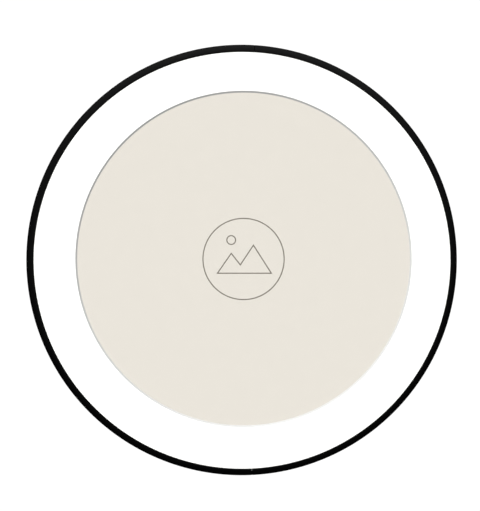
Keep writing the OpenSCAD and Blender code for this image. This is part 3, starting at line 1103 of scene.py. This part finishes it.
def make_stage(scene):
    """Floor, lights, backdrop and camera."""
    studio = scene.studio
    add_floor(studio)
    ring = [bpy.data.objects[name] for name in ("ring_arc_left", "ring_arc_right")]
    pane = bpy.data.objects["pane"]
    mount = bpy.data.objects["window_mount"]
    not_ring = group_of("all_but_ring", ring, "EXCLUDE")
    upper_left = from_front(clock=134.0, off_axis=17.0)
    ahead = from_front(clock=90.0, off_axis=5.0)
    low_above = from_front(clock=105.0, off_axis=62.0)
    key = add_sun("key_light", upper_left, studio.key_strength, width=6.0)
    fill = add_sun("fill_light", ahead, studio.fill_strength, width=90.0)
    low = add_sun("mount_light", low_above, studio.mount_strength, width=60.0)
    key.light_linking.receiver_collection = group_of("behind_the_glass", [*ring, pane], "EXCLUDE")
    fill.light_linking.receiver_collection = not_ring
    low.light_linking.receiver_collection = group_of("mount_alone", [mount], "INCLUDE")
    # The ring casts no shadow from these lights; the lip's lean and wider face stand in for that shadow as painted
    # shade.
    for lamp in (key, low):
        lamp.light_linking.blocker_collection = not_ring
        lamp.data.cycles.max_bounces = THROUGH_GLASS
    above = from_front(clock=91.0, off_axis=38.0)
    higher = from_front(clock=91.0, off_axis=45.0)
    for lamp in (
        add_sun("ring_light", above, studio.ring_strength, width=50.0),
        add_sun("ring_fill", higher, studio.ring_fill_strength, width=110.0),
    ):
        lamp.light_linking.receiver_collection = group_of(lamp.name + "_lights", ring, "INCLUDE")
    rear_high = (-0.45, 0.7, 0.55)
    rear_low = (0.6, 0.75, -0.1)
    add_sun("rear_light", rear_high, studio.rear_strength, width=30.0)
    add_sun("rear_fill", rear_low, studio.rear_strength / 3, width=60.0)
    add_world(studio)
    add_camera(studio)
    scene.view_settings.view_transform = "Standard"


# Operators and panel

class ROUNDFRAME_OT_ring(bpy.types.Operator):
    """Make the two black arcs of the ring"""

    bl_idname = "roundframe.ring"
    bl_label = "Ring"
    bl_options = {"REGISTER", "UNDO"}

    def execute(self, context):
        make_ring(context.scene)
        return {"FINISHED"}


class ROUNDFRAME_OT_glass(bpy.types.Operator):
    """Make the pane of glass"""

    bl_idname = "roundframe.glass"
    bl_label = "Glass"
    bl_options = {"REGISTER", "UNDO"}

    def execute(self, context):
        make_glass(context.scene)
        return {"FINISHED"}


class ROUNDFRAME_OT_mount(bpy.types.Operator):
    """Make the window mount with its bevel"""

    bl_idname = "roundframe.mount"
    bl_label = "Window Mount"
    bl_options = {"REGISTER", "UNDO"}

    def execute(self, context):
        make_mount(context.scene)
        return {"FINISHED"}


class ROUNDFRAME_OT_insert(bpy.types.Operator):
    """Make the insert sheet and its drawing"""

    bl_idname = "roundframe.insert"
    bl_label = "Insert Sheet"
    bl_options = {"REGISTER", "UNDO"}

    def execute(self, context):
        make_insert(context.scene)
        return {"FINISHED"}


class ROUNDFRAME_OT_boards(bpy.types.Operator):
    """Finish the filler card and the back board"""

    bl_idname = "roundframe.boards"
    bl_label = "Boards"
    bl_options = {"REGISTER", "UNDO"}

    def execute(self, context):
        make_boards(context.scene)
        return {"FINISHED"}


class ROUNDFRAME_OT_splices(bpy.types.Operator):
    """Finish the strips and screws that join the arcs"""

    bl_idname = "roundframe.splices"
    bl_label = "Splices"
    bl_options = {"REGISTER", "UNDO"}

    def execute(self, context):
        make_splices(context.scene)
        return {"FINISHED"}


class ROUNDFRAME_OT_buttons(bpy.types.Operator):
    """Make the six turn buttons"""

    bl_idname = "roundframe.buttons"
    bl_label = "Turn Buttons"
    bl_options = {"REGISTER", "UNDO"}

    def execute(self, context):
        make_buttons(context.scene)
        return {"FINISHED"}


class ROUNDFRAME_OT_rivets(bpy.types.Operator):
    """Make the tubular rivets"""

    bl_idname = "roundframe.rivets"
    bl_label = "Rivets"
    bl_options = {"REGISTER", "UNDO"}

    def execute(self, context):
        make_rivets(context.scene)
        return {"FINISHED"}


class ROUNDFRAME_OT_hanger(bpy.types.Operator):
    """Make the keyhole hanger plate"""

    bl_idname = "roundframe.hanger"
    bl_label = "Hanger Plate"
    bl_options = {"REGISTER", "UNDO"}

    def execute(self, context):
        make_hanger(context.scene)
        return {"FINISHED"}


class ROUNDFRAME_OT_stage(bpy.types.Operator):
    """Make the floor, the lights, the backdrop and the camera"""

    bl_idname = "roundframe.stage"
    bl_label = "Stage"
    bl_options = {"REGISTER", "UNDO"}

    def execute(self, context):
        make_stage(context.scene)
        return {"FINISHED"}


class ROUNDFRAME_PT_panel(bpy.types.Panel):
    """Panel that lists the steps and the sizes"""

    bl_idname = "ROUNDFRAME_PT_panel"
    bl_label = "Round Wall Frame"
    bl_space_type = "VIEW_3D"
    bl_region_type = "UI"
    bl_category = "Round Frame"

    def draw(self, context):
        column = self.layout.column(align=True)
        for operator in OPERATORS:
            column.operator(operator.bl_idname)
        for name, group in SETTINGS.items():
            box = self.layout.box()
            box.label(text=group.__doc__)
            for key in group.__annotations__:
                box.prop(getattr(context.scene, name), key)


OPERATORS = (
    ROUNDFRAME_OT_ring,
    ROUNDFRAME_OT_glass,
    ROUNDFRAME_OT_mount,
    ROUNDFRAME_OT_insert,
    ROUNDFRAME_OT_boards,
    ROUNDFRAME_OT_splices,
    ROUNDFRAME_OT_buttons,
    ROUNDFRAME_OT_rivets,
    ROUNDFRAME_OT_hanger,
    ROUNDFRAME_OT_stage,
)
SETTINGS = {
    "ring_sizes": RingSizes,
    "pack_sizes": PackSizes,
    "button_sizes": ButtonSizes,
    "hanger_sizes": HangerSizes,
    "frame_finishes": Finishes,
    "studio": StudioSettings,
}


def register():
    for name, group in SETTINGS.items():
        bpy.utils.register_class(group)
        setattr(bpy.types.Scene, name, PointerProperty(type=group))
    for operator in OPERATORS:
        bpy.utils.register_class(operator)
    bpy.utils.register_class(ROUNDFRAME_PT_panel)


def unregister():
    bpy.utils.unregister_class(ROUNDFRAME_PT_panel)
    for operator in reversed(OPERATORS):
        bpy.utils.unregister_class(operator)
    for name, group in reversed(SETTINGS.items()):
        delattr(bpy.types.Scene, name)
        bpy.utils.unregister_class(group)


def main():
    """Makes every piece and the stage."""
    register()
    for operator in OPERATORS:
        group, name = operator.bl_idname.split(".")
        getattr(getattr(bpy.ops, group), name)()


if __name__ == "__main__":
    main()
